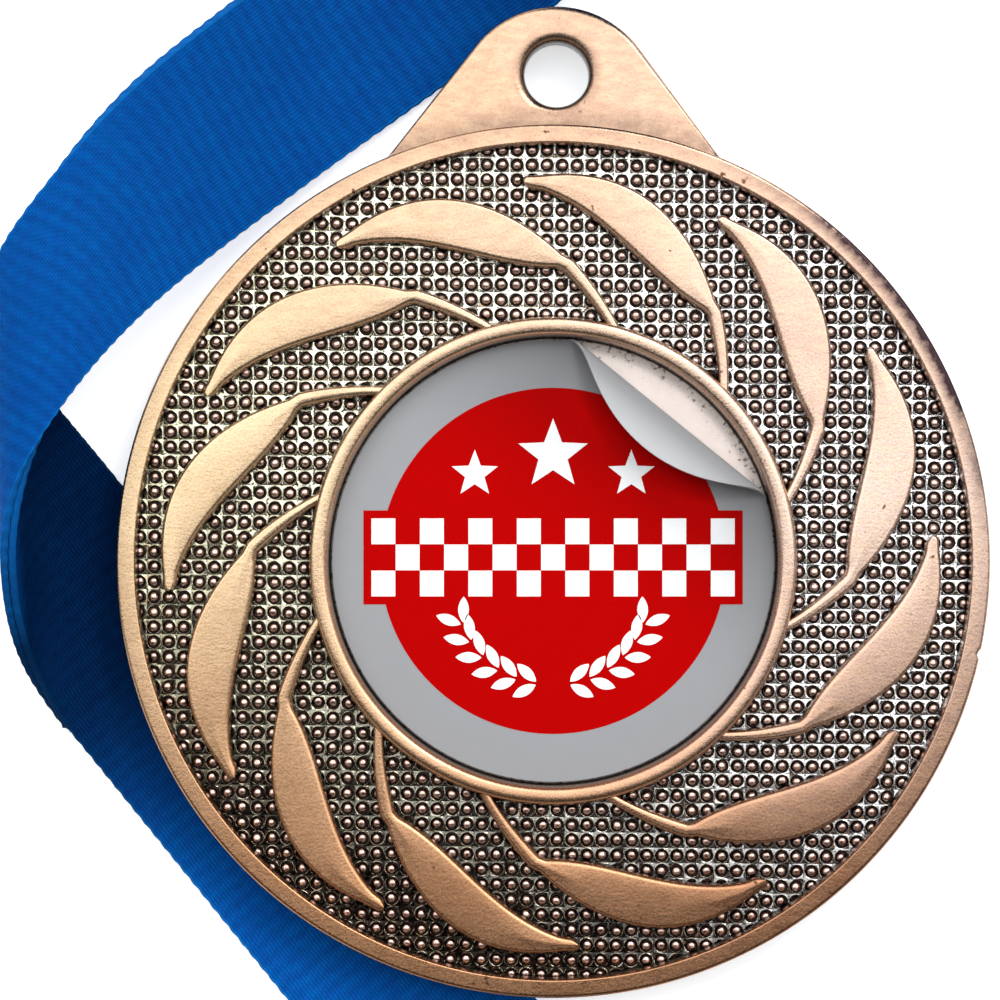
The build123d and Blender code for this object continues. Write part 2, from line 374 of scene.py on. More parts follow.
def bronze(name, dark_below, bright_above):
    """Antiqued copper plate: satin and worn bright on top, dark below a given height in millimetres."""
    s = Shader(name, Metallic=1.0)
    x, y, height = s.axes(s.place())
    cloud = s.noise(170, 5, 0.62)
    grain = s.noise(6200, 4, 0.72)
    brush = s.stretched(1500, (1.0, 3.5, 1.0), 4, 0.6)
    pits = s.noise(1500, 2, 0.5)
    drift = s.between(cloud, 0.36, 0.64)
    # painted light: the low copper is painted lighter to the left than to the right, and the pale colour
    # yellower to the left and pinker to the right, as the light falls across the medal
    copper_left = s.mix(drift, rgb(182, 132, 94), rgb(198, 147, 108))
    copper_right = s.mix(drift, rgb(146, 102, 75), rgb(162, 117, 88))
    copper = s.mix(s.between(x, -0.012, 0.014), copper_left, copper_right)
    gold = s.mix(drift, rgb(198, 168, 130), rgb(212, 184, 146))
    rose = s.mix(drift, rgb(200, 170, 154), rgb(214, 186, 170))
    pale = s.mix(s.between(x, -0.020, 0.014), gold, rose)
    # painted light and shade: deep copper at the bottom of the medal, pale from the middle up, and painted
    # shade darkening it again towards the top and on the ear
    pale_with_painted_shade = s.mix(s.between(y, 0.006, 0.024, 0.0, 0.6), pale, rgb(174, 132, 106))
    upward = s.between(y, -0.018, 0.002)
    plate = s.mix(upward, copper, pale_with_painted_shade)
    grained = s.mix(s.between(grain, 0.34, 0.60, 0.30, 0.0), plate, rgb(128, 90, 66))
    marks = s.mix(s.between(brush, 0.62, 0.80, 0.0, 0.4), grained, rgb(120, 82, 60))
    wisps = s.between(s.stretched(820, (1.0, 2.6, 1.0), 5, 2.5), 0.42, 0.62, 0.0, 0.3)
    # the wisps are also painted paler towards the top, as painted light
    wiped = s.mix(wisps, marks, s.mix(upward, rgb(194, 142, 105), rgb(216, 186, 152)))
    scratches = s.between(s.stretched(2300, (1.0, 4.0, 1.0), 2, 2.2), 0.74, 0.77, 0.0, 0.7)
    flecks = s.mix(scratches, wiped, rgb(238, 212, 186))
    # painted shade: a dark reflection on the rim's outer edge, and shade on the ear by the rim and round
    # its hole
    worn = s.mix(painted_dark_shade(s, x, y, cloud), flecks, rgb(54, 39, 42))
    specks = s.mix(s.between(pits, 0.71, 0.76), worn, rgb(96, 62, 46))
    wobble = s.math("MULTIPLY_ADD", s.math("SUBTRACT", cloud, 0.5), 0.00015, height)
    sunk = s.between(wobble, dark_below * MM, bright_above * MM)
    s.paint(s.mix(sunk, rgb(30, 22, 19), specks))
    s.set("Roughness", s.between(grain, 0.25, 0.75, 0.22, 0.32))
    relief = s.bump(grain, 0.36, 0.00003)
    s.emboss(brush, 0.12, 0.00004, relief)
    return s.material


def painted_dark_shade(s, x, y, cloud):
    """Painted shade: a dark reflection on the rim's rounded outer edge, most to the upper right, and
    darkening on the ear in the corner by the rim and round its hole, broken up by a speckle."""
    radius = s.distance(x, y)
    away = s.math("ABSOLUTE", s.math("SUBTRACT", s.math("ARCTAN2", y, x), radians(33)))
    turn = s.between(away, radians(10), radians(32), 1.35, 0.22)
    # painted shade: a dark reflection on the rim's rounded outer edge, strongest to the upper right
    shoulder_painted_shade = s.times(turn, s.between(radius, (MEDAL_RADIUS - 0.95) * MM, (MEDAL_RADIUS - 0.15) * MM))
    # painted shade on the ear where it meets the rim
    corner = s.between(radius, (MEDAL_RADIUS + 0.05) * MM, (MEDAL_RADIUS + 1.6) * MM, 0.5, 0.0)
    beyond = s.between(radius, MEDAL_RADIUS * MM, (MEDAL_RADIUS + 0.05) * MM)
    from_x = s.math("SUBTRACT", x, EAR_HOLE[0] * MM)
    from_y = s.math("SUBTRACT", y, EAR_HOLE[1] * MM)
    reach = s.distance(from_x, from_y)
    # painted shade round the ear's hole
    hole = s.between(reach, (EAR_HOLE_RADIUS + 0.15) * MM, (EAR_HOLE_RADIUS + 0.9) * MM, 0.5, 0.0)
    ear_painted_shade = s.math("MAXIMUM", hole, s.times(corner, beyond))
    rim_painted_shade = s.times(shoulder_painted_shade, s.math("SUBTRACT", 1.0, beyond))
    speckle = s.between(s.noise(1300, 3, 0.7), 0.36, 0.6, 0.72, 1.12)
    dark_shade_amount = s.times(s.math("MAXIMUM", rim_painted_shade, ear_painted_shade), speckle)
    return s.times(dark_shade_amount, s.between(cloud, 0.3, 0.6, 0.7, 1.1))


def field_metal_painted_reflection(name, grain, patina, painted_highlight_spots, speck, speck_level, relief):
    """Pitted metal of the sunk field with a painted reflection: dark patina to the lower left, with spots
    of a second colour in its pits, and a painted bright reflection to the upper right, which is painted
    yellower to the left and cooler to the right."""
    s = Shader(name, Metallic=1.0)
    x, y, _ = s.axes(s.place())
    pits = s.noise(*grain)
    # painted light: the bright metal is painted yellower to the left and cooler to the right
    metal = s.mix(s.between(x, -0.02, 0.014), rgb(212, 206, 176), rgb(222, 218, 216))
    painted_bright_reflection = s.mix(s.between(pits, speck_level, speck_level + 0.08), metal, speck)
    # on the dark side the ridge's spots are painted highlight; the web passes its own patina for them
    dark_patina_side = s.mix(s.between(pits, 0.46, 0.56), painted_highlight_spots, patina)
    # painted reflection: bright to the upper right, dark patina to the lower left
    s.paint(s.mix(s.between(s.math("MULTIPLY_ADD", x, 0.4, y), -0.022, 0.003), dark_patina_side, painted_bright_reflection))
    s.roughen(pits, 0.12, 0.24)
    s.emboss(pits, *relief)
    return s.material


def field_web():
    """The corners between beads."""
    patina = rgb(30, 26, 22)
    return field_metal_painted_reflection("field_web", (5200, 2, 0.6), patina, patina, rgb(52, 46, 40), 0.56, (0.5, 0.00004))


def field_ridge():
    """Thin ridge round a bead's groove, with spots of painted highlight even on the dark patina to the
    lower left.
    """
    return field_metal_painted_reflection("field_ridge", (3600, 3, 0.6), rgb(36, 30, 25), rgb(176, 162, 140),
                        rgb(60, 50, 44), 0.58, (0.4, 0.00003))


def field_groove():
    s = Shader("field_groove", Metallic=1.0, Roughness=0.22)
    s.paint(s.mix(s.noise(2600), rgb(30, 23, 20), rgb(86, 70, 64)))
    return s.material


def field_bead():
    """Bead tops rubbed back to a brown bronze."""
    s = Shader("field_bead", Metallic=1.0)
    height = s.axes(s.place())[2]
    grain = s.noise(4200, 2, 0.6)
    top = s.mix(s.between(grain, 0.35, 0.65), rgb(180, 148, 136), rgb(222, 192, 178))
    sunk = s.between(height, (FIELD_HEIGHT + 0.01) * MM, (FIELD_HEIGHT + 0.12) * MM)
    s.paint(s.mix(sunk, rgb(40, 28, 27), top))
    s.roughen(grain, 0.2, 0.34)
    s.emboss(grain, 0.3, 0.00003)
    return s.material


def recess_floor():
    """Bare cast floor under the lifted film: pale, with specks, and dark in its corner."""
    s = Shader("recess_floor", Metallic=0.2)
    x, y, _ = s.axes(s.place())
    radius = s.distance(x, y)
    specks = s.noise(3200, 4, 0.75)
    tone = s.noise(500, 3, 0.5)
    pale = s.mix(tone, rgb(204, 190, 182), rgb(228, 213, 204))
    edge = s.between(radius, 0.0112, 0.0128, 0.70, 0.52)
    dirt = s.between(specks, edge, s.math("ADD", edge, 0.08))
    spotted = s.mix(dirt, pale, rgb(96, 78, 66))
    corner = s.between(radius, LABEL_RADIUS * MM, (LABEL_RADIUS + 0.1) * MM)
    s.paint(s.mix(corner, spotted, rgb(60, 42, 32)))
    s.roughen(specks, 0.4, 0.6)
    s.emboss(specks, 0.4, 0.00005)
    return s.material


def film(name, low, high):
    """Printed film: one ink with a faint mottle, with painted shade that darkens it towards the lifted edge
    as the curl's shadow. Where the flap's own rendered shadow falls, the painted shade gives way."""
    s = Shader(name, Specular_IOR_Level=0.02)
    x, y, _ = s.axes(s.place())
    along = s.along(CURL_DIRECTION, x, y)
    aside = s.along(CURL_DIRECTION + pi / 2, x, y)
    # painted shade: the ink is darkened towards the lifted edge as a shadow of the curl, and less so in the
    # middle near the flap, where its rendered shadow falls
    middle = s.between(s.math("ABSOLUTE", aside), 0.0025, 0.0065, 0.85, 0.0)
    cast = s.times(middle, s.between(along, 0.0066, 0.0078))
    near = s.math("POWER", s.between(along, 0.0, CURL_START * MM), 1.5)
    painted_shade_share = s.times(near, s.math("SUBTRACT", 1.0, cast))
    shade = s.math("MULTIPLY_ADD", painted_shade_share, -0.52, 1.0)
    ink = s.mix(s.noise(900, 3, 0.5), low, high)
    s.paint(s.scaled(ink, shade))
    s.roughen(s.noise(3000, 2), 0.48, 0.6)
    return s.material


def film_back():
    """Silver-white adhesive side of the film, with painted shade that darkens it towards the fold."""
    s = Shader("film_back", Specular_IOR_Level=0.3)
    x, y, _ = s.axes(s.place())
    along = s.along(CURL_DIRECTION, x, y)
    free = s.mix(s.noise(1300, 3, 0.5), rgb(172, 172, 173), rgb(178, 178, 179))
    # painted shade: darker towards the fold of the curl
    s.paint(s.mix(s.between(along, 0.0086, 0.0101), free, rgb(140, 140, 141)))
    s.roughen(s.noise(2600, 2), 0.45, 0.6)
    return s.material


def woven_blue():
    """Woven band. The attribute weave holds each point's place on the flat band, in millimetres, and a
    factor of painted shade and light that scales its colour."""
    s = Shader("woven_blue", Specular_IOR_Level=0.02)
    along, across, shade = s.axes(s.attribute("weave"))
    drift = s.math("MULTIPLY_ADD", s.math("SUBTRACT", s.noise(500, 2), 0.5), 0.2, across)
    thread = s.math("ABSOLUTE", s.math("SINE", s.times(drift, pi / THREAD_PITCH)))
    number = s.math("FLOOR", s.times(drift, 1 / THREAD_PITCH))
    stagger = s.times(s.math("MODULO", number, 3.0), 1 / 3)
    phase = s.math("MULTIPLY_ADD", along, 1 / FLOAT_LENGTH, stagger)
    float_end = s.math("ABSOLUTE", s.math("COSINE", s.times(phase, pi)))
    weave = s.times(s.math("POWER", thread, 0.6), s.math("POWER", float_end, 0.15))
    rib = s.math("MULTIPLY_ADD", s.math("COSINE", s.times(along, TAU / RIB_PITCH)), 0.08, 0.92)
    patch = s.noise(1900, 3, 0.6)
    lit = s.times(weave, s.between(patch, 0.25, 0.75, 0.62, 1.2))
    blue = s.mix(s.between(s.noise(260, 2), 0.3, 0.7), rgb(0, 84, 160), rgb(0, 92, 168))
    ground = s.mix(s.between(lit, 0.1, 0.95), rgb(14, 48, 128), blue)
    edge = s.between(s.math("ABSOLUTE", across), RIBBON_WIDTH / 2 - 0.22, RIBBON_WIDTH / 2 - 0.05)
    trimmed = s.mix(s.times(edge, 0.5), ground, rgb(12, 112, 186))
    # the colour is scaled by the painted shade and light carried in the weave attribute
    s.paint(s.scaled(trimmed, s.times(rib, shade)))
    s.set("Roughness", s.between(lit, 0.0, 1.0, 0.9, 0.7))
    s.emboss(weave, 0.35, 0.00004)
    return s.material


def thread_blue():
    s = Shader("seam_thread", Roughness=0.6, Sheen_Weight=0.3)
    twist = s.stretched(5200, (1.0, 3.0, 1.0), 2, 0.8)
    s.paint(s.mix(twist, rgb(6, 40, 110), rgb(30, 96, 180)))
    s.emboss(twist, 0.5, 0.00005)
    return s.material


def mottled(name, grain, low, high, roughness, relief, **settings):
    """One colour with a mottle that its gloss and relief follow."""
    s = Shader(name, **settings)
    mottle = s.noise(*grain)
    s.paint(s.mix(mottle, low, high))
    s.roughen(mottle, *roughness)
    s.emboss(mottle, *relief)
    return s.material


def nickel():
    return mottled("nickel_wire", (1900, 4, 0.65), rgb(196, 194, 188), rgb(228, 226, 220),
                   (0.1, 0.24), (0.12, 0.00003), Metallic=1.0)


def tie_plastic():
    return mottled("tie_plastic", (2200, 3, 0.6), rgb(166, 170, 174), rgb(184, 188, 192),
                   (0.38, 0.55), (0.25, 0.00004), Specular_IOR_Level=0.45)


def floor_white():
    s = Shader("studio_floor", Roughness=0.7, Specular_IOR_Level=0.2, Emission_Strength=0.6)
    s.set("Emission Color", (1.0, 1.0, 1.0, 1.0))
    s.paint(s.mix(s.noise(8, 2), (0.82, 0.82, 0.82, 1), (0.86, 0.86, 0.86, 1)))
    return s.material


# ======== camera

def camera():
    """Straight down on the face, from far enough that the ear hole shows only a sliver of its wall."""
    view_width = MEDAL_RADIUS * 2.286
    distance = MEDAL_RADIUS * 9.2
    made = bpy.data.cameras.new("camera")
    made.sensor_width = 36.0
    made.lens = made.sensor_width * distance / view_width
    made.clip_start = 0.01
    made.clip_end = 20.0
    rig = add_object("camera", made)
    rig.location = Vector((-0.122 * MEDAL_RADIUS, 0.140 * MEDAL_RADIUS, MEDAL_THICKNESS + distance)) * MM
    bpy.context.scene.camera = rig


# ======== ribbon

def run_edge(origin, angle, side):
    """One edge of a flat run, as a function of the distance along it."""
    start = np.array((origin[0], origin[1], 0.0)) + heading(angle + pi / 2) * (side * RIBBON_WIDTH / 2)
    return lambda distance: start + heading(angle) * distance


def ribbon_stations():
    """The CAD part's control points of the two edges, from the roll to the eye."""
    upper_outer = run_edge(ROLL_FOOT, UPPER_HEADING, 1)
    upper_inner = run_edge(ROLL_FOOT, UPPER_HEADING, -1)
    lower_inner = run_edge(LOWER_START, LOWER_HEADING, 1)
    lower_outer = run_edge(LOWER_START, LOWER_HEADING, -1)
    flat = PAIR_MIDDLE
    upper = [(upper_outer(-a), upper_inner(-b), flat) for a, b in ((0, 0), (6, 7.5), (12, 16), (17.5, 25))]
    fold = [
        (upper_outer(-22.5), upper_inner(-33), 0.4),
        ((-19.0, 31.2), (-20.4, 17.0), 3.6),
        ((-23.4, 27.4), (-24.6, 13.0), 6.8),
        ((-27.5, 22.4), (-28.0, 8.4), 8.9),
        ((-31.0, 17.4), (-30.6, 3.2), 8.6),
        ((-32.4, 13.6), (-31.1, -2.4), 3.8),
        ((-31.2, 11.6), (-30.2, -6.8), 0.2),
        ((-28.2, 8.4), (-27.8, -10.4), flat),
    ]
    spacing = ((7, 8.5), (13, 13), (20, 18.5), (28, 25), (33, 32), (38.5, 38), (LOWER_END, LOWER_END))
    lower = [(lower_inner(a), lower_outer(b), flat) for a, b in spacing]
    stations = upper + fold + lower
    left = np.array([(a[0], a[1], z) for a, _, z in stations])
    right = np.array([(b[0], b[1], z) for _, b, z in stations])
    return left, right


def bspline(points, positions):
    """Uniform cubic B-spline that starts and ends at its first and last points."""
    padded = np.vstack([2 * points[0] - points[1], points, 2 * points[-1] - points[-2]])
    spans = len(points) - 1
    span = np.minimum((positions * spans).astype(int), spans - 1)
    t = (positions * spans - span)[:, None]
    weights = ((1 - t) ** 3, 3 * t ** 3 - 6 * t ** 2 + 4, -3 * t ** 3 + 3 * t ** 2 + 3 * t + 1, t ** 3)
    return sum(weight / 6 * padded[span + k] for k, weight in enumerate(weights))


def travelled(path):
    """Distance along a path to each of its points."""
    return np.concatenate([[0], np.cumsum(np.linalg.norm(np.diff(path, axis=0), axis=1))])


def laid_surface(columns):
    """Middle surface of the laid pair: rows square across the band, one for each bit of its length."""
    left_points, right_points = ribbon_stations()
    positions = np.linspace(0, 1, 4000)
    left, right = bspline(left_points, positions), bspline(right_points, positions)
    middle = (left + right) / 2
    distance = travelled(middle)
    tangent = unit(np.gradient(middle, distance, axis=0))
    skew = np.einsum("ij,ij->i", left - right, tangent) / 2
    length = distance[-1]
    rows = np.linspace(0, length, int(length / (RIB_PITCH / 4)))
    surface = np.empty((len(rows), len(columns), 3))
    for number, v in enumerate(columns):
        found = np.interp(rows, distance + v * skew, positions)
        a, b = bspline(left_points, found), bspline(right_points, found)
        surface[:, number] = (a + b) / 2 + (a - b) / 2 * v
    return surface


def surface_normals(surface):
    along = np.gradient(surface, axis=0)
    across = np.gradient(surface, axis=1)
    return unit(np.cross(across, along))


def swept_rows(path, origin, angle, columns):
    """A flat curve (distance ahead, height), drawn out sideways into rows across the band."""
    side = heading(angle + pi / 2)
    centre = np.array((origin[0], origin[1], 0.0)) + path[:, :1] * heading(angle)
    centre = centre + path[:, 1:] * np.array((0, 0, 1.0))
    return centre[:, None, :] + np.asarray(columns)[None, :, None] * side * RIBBON_WIDTH / 2


def resample(path, step):
    distance = travelled(path)
    wanted = np.linspace(0, distance[-1], max(int(round(distance[-1] / step)), 2))
    return np.stack([np.interp(wanted, distance, path[:, k]) for k in range(path.shape[1])], axis=1)


def spiral_strand(side):
    """One strand's turns from the roll's foot to its core. side 1 is the strand that is on top."""
    turns = (ROLL_RADIUS - STRAND - (ROLL_CORE_RADIUS + STRAND)) / ROLL_PITCH
    angle = np.linspace(0, turns * TAU, 2400)
    loose = 0.06 * np.sin(angle * 1.3) * np.minimum(angle, 1) * np.minimum(turns * TAU - angle, 1)
    radius = ROLL_RADIUS - STRAND - ROLL_PITCH * angle / TAU - side * STRAND / 2 + loose
    ahead, height = radius * np.sin(angle), ROLL_AXLE[2] - radius * np.cos(angle)
    return np.stack([ahead, height], axis=1)


def core_bend(inner_end, outer_end, previous):
    """The band's own fold at the core: a small loop from the inner strand's end to the outer's."""
    forward = unit(inner_end - previous)
    middle = (inner_end + outer_end) / 2
    across = (inner_end - outer_end) / 2
    angle = np.linspace(0, pi, 24)[1:-1, None]
    bulge = 3.2 * STRAND
    return middle + across * np.cos(angle) + forward * bulge * np.sin(angle)


def eye_wrap():
    """From the lower strand's end round the wire and back to the upper strand's end."""
    low = PAIR_MIDDLE - STRAND / 2
    high = PAIR_MIDDLE + STRAND / 2
    angle = np.linspace(-pi / 2, radians(118), 60)
    bend = np.stack([EYE_OFFSET + EYE_BEND_RADIUS * np.cos(angle),
                     EYE[2] + EYE_BEND_RADIUS * np.sin(angle)], axis=1)
    settle = np.linspace(0, 1, 30)[1:]
    ease = settle ** 2 * (3 - 2 * settle)
    start = bend[-1]
    tail = np.stack([start[0] * (1 - settle), start[1] * (1 - ease) + high * ease], axis=1)
    return np.vstack([[(0, low)], bend, tail])


def ribbon():
    """The whole 800 mm band as one closed loop, with raised ribs and a scalloped edge."""
    columns = np.array([-1, -0.985, -0.95, -0.85, -0.6, -0.3, 0, 0.3, 0.6, 0.85, 0.95, 0.985, 1])
    step = RIB_PITCH / 4
    laid = laid_surface(columns)
    normal = surface_normals(laid)
    upward = np.sign(normal[5, 6, 2])
    upper, lower = (laid + normal * (upward * side * STRAND / 2) for side in (1, -1))
    inner, outer = (resample(spiral_strand(side), step) for side in (1, -1))
    bend = resample(core_bend(inner[-1], outer[-1], inner[-2]), step)
    rolled = [swept_rows(path, ROLL_FOOT, UPPER_HEADING, columns)
              for path in (inner[1:], bend, outer[::-1][:-1])]
    lower_end = np.array((*LOWER_START, 0.0)) + heading(LOWER_HEADING) * LOWER_END
    eye = swept_rows(resample(eye_wrap(), step)[1:-1], lower_end, LOWER_HEADING, columns)
    loop = np.concatenate([upper[::-1]] + rolled + [lower, eye])
    # painted shade along the band: darker by the roll and under the fold, and painted light on the lower
    # run and round the eye
    laid_painted_shade = laid_shade(laid, normal[..., 2] * upward)
    roll_painted_shade = np.full((sum(len(part) for part in rolled), len(columns)), UPPER_SHADE)
    eye_painted_light = np.full((len(eye), len(columns)), LOWER_SHADE)
    shade = np.concatenate([laid_painted_shade[::-1], roll_painted_shade, laid_painted_shade, eye_painted_light])
    return band_piece(loop, columns, shade)


def laid_shade(laid, rise):
    """Painted shade on the laid rows: darker by the roll, darkest where the band has turned over and comes
    out from under the fold, and painted lighter further along the lower run. rise is the upward part of the
    normal, 1 before the fold."""
    distance = travelled(laid[:, laid.shape[1] // 2])
    open_run = np.interp(distance, (0, UPPER_SHADE_END), (UPPER_SHADE, 1.0))[:, None]
    ahead = (laid[..., :2] - LOWER_START) @ heading(LOWER_HEADING)[:2]
    share = np.clip((ahead - SHADE_START) / (SHADE_END - SHADE_START), 0, 1)
    turned_over = np.clip(0.5 - 2 * rise, 0, 1)
    covered = FOLD_SHADE + (LOWER_SHADE - FOLD_SHADE) * share ** 2 * (3 - 2 * share)
    return open_run + (covered - open_run) * turned_over


def band_piece(loop, columns, shade):
    """Closed band round a loop of rows: two faces, two edges, ribs and weave coordinates."""
    rows, count = loop.shape[:2]
    middle = loop[:, count // 2]
    gaps = np.linalg.norm(np.diff(middle, axis=0, append=middle[:1]), axis=1)
    distance = np.concatenate([[0], np.cumsum(gaps)[:-1]])
    length = gaps.sum()
    print(f"ribbon band {length:.1f} mm, {rows} rows")
    around = np.concatenate([loop[-1:], loop, loop[:1]])
    normal = surface_normals(around)[1:-1]
    side = unit(np.gradient(loop, axis=1))
    ribs = round(length / RIB_PITCH)
    phase = np.cos(TAU * distance * ribs / length)[:, None]
    flat = 1 - np.abs(columns) ** 24
    thickness = (0.216 + 0.007 * phase) * (0.94 + 0.06 * flat)[None, :]
    scallop = 0.03 * phase * (np.abs(columns) > 0.97)[None, :] * np.sign(columns)[None, :]
    loop = loop + side * scallop[..., None]
    top = loop + normal * thickness[..., None]
    under = loop - normal * thickness[..., None]
    sections = np.concatenate([top, under[:, ::-1]], axis=1)
    faces = grid_faces(rows, 2 * count, wrap_rows=True, wrap_columns=True)
    piece = make_piece("ribbon_band", sections.reshape(-1, 3), faces, "ribbon", "blue_ribbon", woven_blue())
    places = np.zeros((rows, count, 3))
    places[..., 0] = distance[:, None]
    places[..., 1] = columns * RIBBON_WIDTH / 2
    # the third part of the weave attribute is the painted shade and light
    places[..., 2] = shade
    places = np.concatenate([places, places[:, ::-1]], axis=1)
    weave = piece.data.attributes.new("weave", "FLOAT_VECTOR", "POINT")
    weave.data.foreach_set("vector", places.reshape(-1).astype(np.float32))
    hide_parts("ribbon_strip", "ribbon_roll")
    return piece


# ======== medal casting

def lathe(profile, segments, dent):
    """Points and faces of a solid of revolution from (radius, height) points, flat at both ends. dent
    gives how far in each point is knocked."""
    angles = round_angles(segments)
    rings = [circle_points(radius - dent(angles, radius), angles, height) for radius, height in profile]
    return np.vstack(rings), capped_tube(len(rings), segments)


def rim_nick(angles, radius):
    """A small knock on the rim's right edge."""
    depth = NICK_DEPTH if radius > RIM_INNER_RADIUS + 0.5 else 0
    away = (angles - NICK_ANGLE + pi) % TAU - pi
    return depth * np.exp(-(away / NICK_SPREAD) ** 2)


def below(x, y, steps):
    """Profile points, each given as how far inward and how far down it is from a corner."""
    return [(x - inward, y - down) for inward, down in steps]


def casting(material):
    """Back, rim, moat floor, inner ring and recess, turned in one profile."""
    top, outer, wall = MEDAL_THICKNESS, MEDAL_RADIUS, RIM_INNER_RADIUS
    ring, hub, crown, floor = RING_OUTER_RADIUS, RING_INNER_RADIUS, RING_HEIGHT, RECESS_FLOOR
    back = [(outer - 0.6, 0), (outer - 0.45, 0), (outer - 0.3, 0.02), (outer - 0.08, 0.14), (outer, 0.32)]
    rim = below(outer, top, ((0, 0.34), (0.015, 0.16), (0.05, 0.07), (0.11, 0.02), (0.19, 0), (0.23, 0)))
    rim += below(wall, top, ((-0.1, 0), (-0.06, 0), (-0.02, 0.02), (0.005, 0.08), (0.03, 0.22)))
    moat = [(wall - 0.1, MOAT_HEIGHT + 0.4), (wall - 0.16, MOAT_HEIGHT),
            (ring + 0.16, MOAT_HEIGHT), (ring + 0.1, MOAT_HEIGHT + 0.5)]
    crest = below(ring, crown, ((-0.01, 0.28), (0.04, 0.13), (0.13, 0.04), (0.27, 0), (0.45, 0)))
    crest += below(hub, crown, ((-0.22, 0.01), (-0.07, 0.05), (0.03, 0.15), (0.11, 0.38), (0.17, 0.75)))
    recess = [(hub - 0.21, floor + 0.12), (hub - 0.24, floor), (LABEL_RADIUS - 0.6, floor)]
    points, faces = lathe(back + rim + moat + crest + recess, CASTING_SEGMENTS, rim_nick)
    piece = make_piece("medal_casting", points, faces, "medal", "antique_bronze", material, recess_floor())
    for polygon in piece.data.polygons:
        on_floor = abs(polygon.center.z / MM - floor) < 0.01 and polygon.normal.z > 0.9
        polygon.material_index = int(on_floor)
    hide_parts("medal_body")


def ear_reach(angle):
    """Distance from the hole's centre to the ear's outline: its round top, its flanks, or the rim."""
    direction = heading(angle)[:2]
    centre, apex = np.array(EAR_HOLE), np.array(EAR_APEX)
    best = circle_hits(centre - apex, direction, EAR_APEX_RADIUS)[1]
    for side in (-1, 1):
        foot = np.array((side * EAR_FOOT[0], EAR_FOOT[1]))
        to_apex = apex - foot
        span = np.linalg.norm(to_apex)
        tilt = np.arcsin(EAR_APEX_RADIUS / span)
        base = np.arctan2(to_apex[1], to_apex[0]) - side * tilt
        tangent = foot + sqrt(span ** 2 - EAR_APEX_RADIUS ** 2) * np.array((cos(base), sin(base)))
        best = max(best, segment_hit(centre, direction, foot, tangent))
        best = max(best, segment_hit(centre, direction, foot, np.array((0.0, EAR_FOOT[1]))))
    rim = circle_hits(centre, direction, MEDAL_RADIUS - EAR_UNDER_RIM)[0]
    return min(best, rim) if rim > 0 else best


def circle_hits(origin, direction, radius):
    """Distances along a ray to where it enters and leaves a circle about zero: zeros where it misses."""
    along = -(origin @ direction)
    room = radius ** 2 - origin @ origin + along ** 2
    return (along - sqrt(room), along + sqrt(room)) if room > 0 else (0, 0)


def segment_hit(origin, direction, start, end):
    """Distance along a ray to a segment, or 0 where it misses."""
    edge = end - start
    across = direction[0] * edge[1] - direction[1] * edge[0]
    if abs(across) < 1e-9:
        return 0
    gap = start - origin
    distance = (gap[0] * edge[1] - gap[1] * edge[0]) / across
    share = (gap[0] * direction[1] - gap[1] * direction[0]) / across
    return distance if distance > 0 and -1e-6 <= share <= 1 + 1e-6 else 0


def ear(material):
    """Tab with soft edges and a slightly dished face round its hole."""
    face = EAR_FRONT
    angles = round_angles(EAR_SEGMENTS)
    reach = np.array([ear_reach(angle) for angle in angles])
    gap = reach - EAR_HOLE_RADIUS
    outline = circle_points(reach, angles, 0, EAR_HOLE)
    at_rim = np.linalg.norm(outline, axis=1) < MEDAL_RADIUS
    hole_rings = [(0.0, EAR_BACK + 0.3), (0.0, face - 0.6), (0.03, face - 0.36), (0.1, face - 0.2),
                  (0.2, face - 0.1), (0.34, face - 0.03), (0.55, face), (0.6, face)]
    edge_rings = [(0.9, face), (0.34, face), (0.3, face), (0.2, face - 0.02), (0.1, face - 0.07),
                  (0.03, face - 0.16), (0.0, face - 0.34), (0.0, EAR_BACK + 0.2), (0.12, EAR_BACK + 0.03),
                  (0.3, EAR_BACK)]
    squeeze = np.minimum(1.0, gap * 0.45 / edge_rings[0][0])
    softness = squeeze * np.where(at_rim, 0.15, 1.0)
    rings = [(EAR_HOLE_RADIUS + inset * squeeze, height) for inset, height in hole_rings]
    rings += [(reach - inset * softness, height) for inset, height in edge_rings]
    rings += [(EAR_HOLE_RADIUS + 0.3, EAR_BACK), (EAR_HOLE_RADIUS + 0.1, EAR_BACK + 0.08)]
    layers = [circle_points(radius, angles, height, EAR_HOLE) for radius, height in rings]
    faces = grid_faces(len(rings), EAR_SEGMENTS, wrap_rows=True, wrap_columns=True, flip=True)
    make_piece("medal_ear", np.vstack(layers), faces, "medal", "antique_bronze", material)


# ======== blades

def blade_edges(tip_angle):
    """Pairs of points along the two edges of a blade and its stem, from tip to ring."""
    outer, inner, stem = (np.array([polar(r, turn, tip_angle) + BLADE_SHIFT for r, turn in handles])
                          for handles in (BLADE_OUTER_EDGE, BLADE_INNER_EDGE, BLADE_STEM_EDGE))
    tries = np.linspace(0, 1, 400)
    kink = tries[np.argmin(np.linalg.norm(bezier(outer, tries) - inner[3], axis=1))]
    body = np.linspace(TIP_TRIM, 1, 46)
    neck = np.linspace(0, 1, 22)[1:]
    first = np.vstack([bezier(outer, body * kink), bezier(outer, kink + neck * (1 - kink))])
    second = np.vstack([bezier(inner, body), bezier(stem, neck)])
    return first, second


def widened(first, second):
    """The same pairs, nowhere closer together than the width of the blunt tip."""
    middle, half = (first + second) / 2, (second - first) / 2
    reach = np.linalg.norm(half, axis=1, keepdims=True)
    half = half / reach * np.maximum(reach, TIP_HALF_WIDTH)
    return middle - half, middle + half


